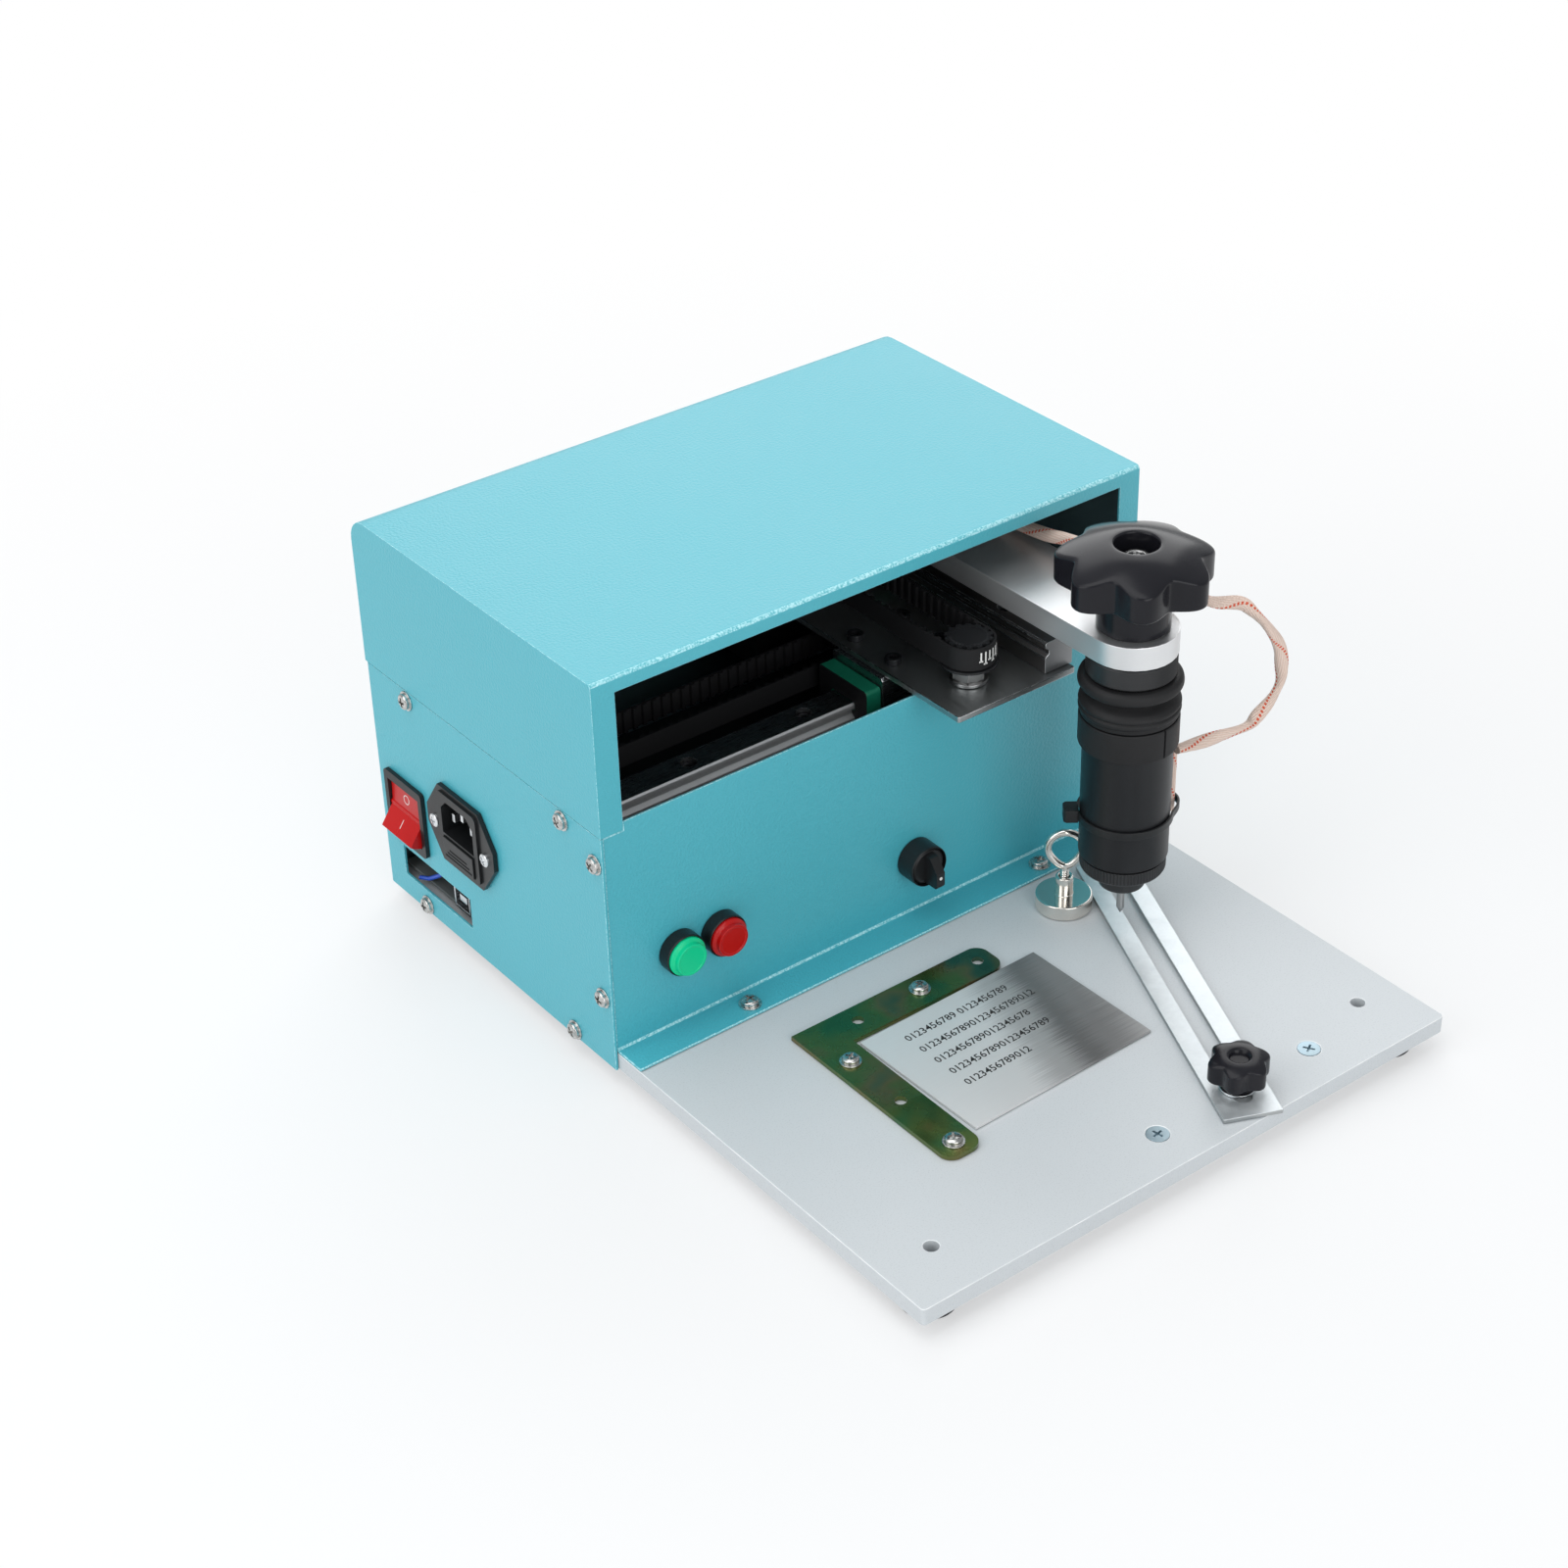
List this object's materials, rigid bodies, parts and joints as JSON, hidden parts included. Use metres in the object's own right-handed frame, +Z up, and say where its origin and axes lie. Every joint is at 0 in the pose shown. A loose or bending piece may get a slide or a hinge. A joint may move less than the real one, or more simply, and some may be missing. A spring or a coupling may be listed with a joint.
{
  "type": "plate marking machine",
  "caption": "Tabletop nameplate marking machine: sheet-metal housing over a belt-driven X-Y gantry, with a height-adjustable marking head on an arm above a flat work bed.",
  "frame": {"origin": "middle of the machine's outline without its head lead, on the surface its feet stand on", "axes": "+Z up; +Y from the work bed's front edge towards the housing at the back; +X to the right, seen from the front"},
  "size_m": [0.296, 0.377, 0.2053],
  "materials": {
    "powder_coat": "turquoise fine orange-peel powder coat",
    "pale_coat": "pale grey speckled textured coat",
    "foot_rubber": "dark moulded rubber",
    "black_plastic": "black moulded plastic",
    "knob_plastic": "glossy black phenolic",
    "red_lens": "translucent red",
    "green_lens": "translucent green",
    "cap_plastic": "dark green moulded end cap",
    "dark_steel": "dark polished steel plate",
    "bright_steel": "ground steel",
    "motor_case": "black laminated motor case",
    "machined_aluminium": "satin machined aluminium",
    "black_aluminium": "black anodised aluminium",
    "zinc": "bright zinc plate",
    "chromate": "iridescent olive chromate",
    "contact_brass": "plain brass",
    "circuit_board": "green solder mask",
    "belt_rubber": "black toothed belt",
    "bellows_rubber": "matte black rubber",
    "lead_sleeve": "braided sleeve with a coloured tracer"
  },
  "bodies": {
    "frame": {"base_plate": "pale_coat", "foot_front_left": "foot_rubber", "foot_front_right": "foot_rubber", "foot_rear_left": "foot_rubber", "foot_rear_right": "foot_rubber", "side_shell": "powder_coat", "front_panel": "powder_coat", "top_cover": "powder_coat", "switch_bezel": "black_plastic", "inlet_body": "black_plastic", "inlet_contacts": "contact_brass", "start_button_body": "black_plastic", "stop_button_body": "black_plastic", "selector_body": "black_plastic", "control_board": "circuit_board", "power_supply": "zinc", "rail_bridge": "dark_steel", "x_rail": "bright_steel", "x_motor": "motor_case", "x_belt": "belt_rubber", "corner_bracket": "chromate"},
    "power_rocker": {"switch_rocker": "red_lens"},
    "fuse_tray": {"fuse_drawer": "black_plastic"},
    "start_button": {"start_button_lens": "green_lens"},
    "stop_button": {"stop_button_lens": "red_lens"},
    "selector": {"selector_knob": "black_plastic"},
    "x_drive": {"x_motor_pulley": "machined_aluminium"},
    "x_idler": {"x_idler_pulley": "machined_aluminium"},
    "x_carriage": {"x_block": "bright_steel", "x_cap_left": "cap_plastic", "x_cap_right": "cap_plastic", "y_plate": "dark_steel", "y_rail": "bright_steel", "y_motor": "motor_case", "y_idler_bolt": "bright_steel", "y_belt": "belt_rubber"},
    "y_drive": {"y_motor_pulley": "machined_aluminium"},
    "y_idler": {"y_idler_pulley": "machined_aluminium"},
    "arm_carriage": {"arm": "machined_aluminium", "y_block": "bright_steel", "y_cap_front": "cap_plastic", "y_cap_rear": "cap_plastic", "y_belt_clamp": "dark_steel", "bellows": "bellows_rubber", "head_lead": "lead_sleeve"},
    "lock_ring": {"knurled_ring": "black_aluminium"},
    "height_screw": {"height_knob": "knob_plastic", "lift_screw": "bright_steel"},
    "head": {"head_body": "black_aluminium", "cuff": "bellows_rubber", "end_cap": "black_aluminium", "cable_tie": "black_plastic", "lead_tail": "lead_sleeve"},
    "stylus": {"stylus_pin": "bright_steel"},
    "blank": {"nameplate_blank": "bright_steel"},
    "strap_pivot": {"strap_washer": "zinc"},
    "slotted_strap": {"strap": "zinc"},
    "strap_clamp": {"strap_knob": "knob_plastic"},
    "magnet": {"magnet_pot": "bright_steel", "eye_bolt": "bright_steel"}
  },
  "joints": [
    {"name": "x_travel", "type": "slide", "parent": "frame", "child": "x_carriage", "axis": [1, 0, 0], "range_m": [-0.135, 0.03]},
    {"name": "x_drive_turn", "type": "hinge", "parent": "frame", "child": "x_drive", "pos_m": [0.1138, 0.07599, 0.1102], "axis": [0, 0, 1], "range_deg": [-720, 180]},
    {"name": "x_idler_turn", "type": "hinge", "parent": "frame", "child": "x_idler", "pos_m": [-0.1112, 0.07599, 0.1102], "axis": [0, 0, 1], "range_deg": [-720, 180]},
    {"name": "y_travel", "type": "slide", "parent": "x_carriage", "child": "arm_carriage", "axis": [0, 1, 0], "range_m": [-0.095, 0]},
    {"name": "y_drive_turn", "type": "hinge", "parent": "x_carriage", "child": "y_drive", "pos_m": [0.0422, 0.13819, 0.1417], "axis": [0, 0, 1], "range_deg": [-500, 10]},
    {"name": "y_idler_turn", "type": "hinge", "parent": "x_carriage", "child": "y_idler", "pos_m": [0.0422, 0.00069, 0.1417], "axis": [0, 0, 1], "range_deg": [-500, 10]},
    {"name": "head_lift", "type": "slide", "parent": "arm_carriage", "child": "head", "axis": [0, 0, 1], "range_m": [-0.0035, 0.005], "deforming": ["bellows"]},
    {"name": "height_knob_turn", "type": "hinge", "parent": "arm_carriage", "child": "height_screw", "pos_m": [0.0819, -0.05491, 0.1673], "axis": [0, 0, 1], "range_deg": [-905, 635]},
    {"name": "lock_ring_turn", "type": "hinge", "parent": "arm_carriage", "child": "lock_ring", "pos_m": [0.0819, -0.05491, 0.153], "axis": [0, 0, 1], "continuous": true},
    {"name": "stylus_strike", "type": "slide", "parent": "head", "child": "stylus", "axis": [0, 0, -1], "range_m": [0, 0.002], "stiffness_N_per_m": 250, "springref_m": -0.002},
    {"name": "power_rocker_tip", "type": "hinge", "parent": "frame", "child": "power_rocker", "pos_m": [-0.1377, 0.16429, 0.0567], "axis": [0, -1, 0], "range_deg": [0, 24]},
    {"name": "start_press", "type": "slide", "parent": "frame", "child": "start_button", "axis": [0, 1, 0], "range_m": [0, 0.0025], "stiffness_N_per_m": 300, "springref_m": -0.002},
    {"name": "stop_press", "type": "slide", "parent": "frame", "child": "stop_button", "axis": [0, 1, 0], "range_m": [0, 0.0025], "stiffness_N_per_m": 300, "springref_m": -0.002},
    {"name": "selector_turn", "type": "hinge", "parent": "frame", "child": "selector", "pos_m": [0.0215, 0.01099, 0.0449], "axis": [0, -1, 0], "range_deg": [-45, 45]},
    {"name": "fuse_tray_slide", "type": "slide", "parent": "frame", "child": "fuse_tray", "axis": [-1, 0, 0], "range_m": [0, 0.015]},
    {"name": "blank_slide", "type": "slide", "parent": "frame", "child": "blank", "axis": [0, -1, 0], "range_m": [0, 0.012]},
    {"name": "strap_swivel", "type": "hinge", "parent": "frame", "child": "strap_pivot", "pos_m": [0.0424, -0.16691, 0.0186], "axis": [0, 0, 1], "range_deg": [-45, 0]},
    {"name": "strap_slide", "type": "slide", "parent": "strap_pivot", "child": "slotted_strap", "axis": [0.3987, 0.9171, 0], "range_m": [-0.1, 0]},
    {"name": "strap_knob_turn", "type": "hinge", "parent": "frame", "child": "strap_clamp", "pos_m": [0.0424, -0.16691, 0.02], "axis": [0, 0, 1], "continuous": true},
    {"name": "magnet_lift", "type": "slide", "parent": "frame", "child": "magnet", "axis": [0, 0, 1], "range_m": [0, 0.018]}
  ],
  "couplings": [
    {"joint": "x_drive_turn", "follows": "x_travel", "rad_per_m": 89.759},
    {"joint": "x_idler_turn", "follows": "x_travel", "rad_per_m": 89.759},
    {"joint": "y_drive_turn", "follows": "y_travel", "rad_per_m": 89.759},
    {"joint": "y_idler_turn", "follows": "y_travel", "rad_per_m": 89.759},
    {"joint": "height_knob_turn", "follows": "head_lift", "rad_per_m": -3141.6}
  ]
}
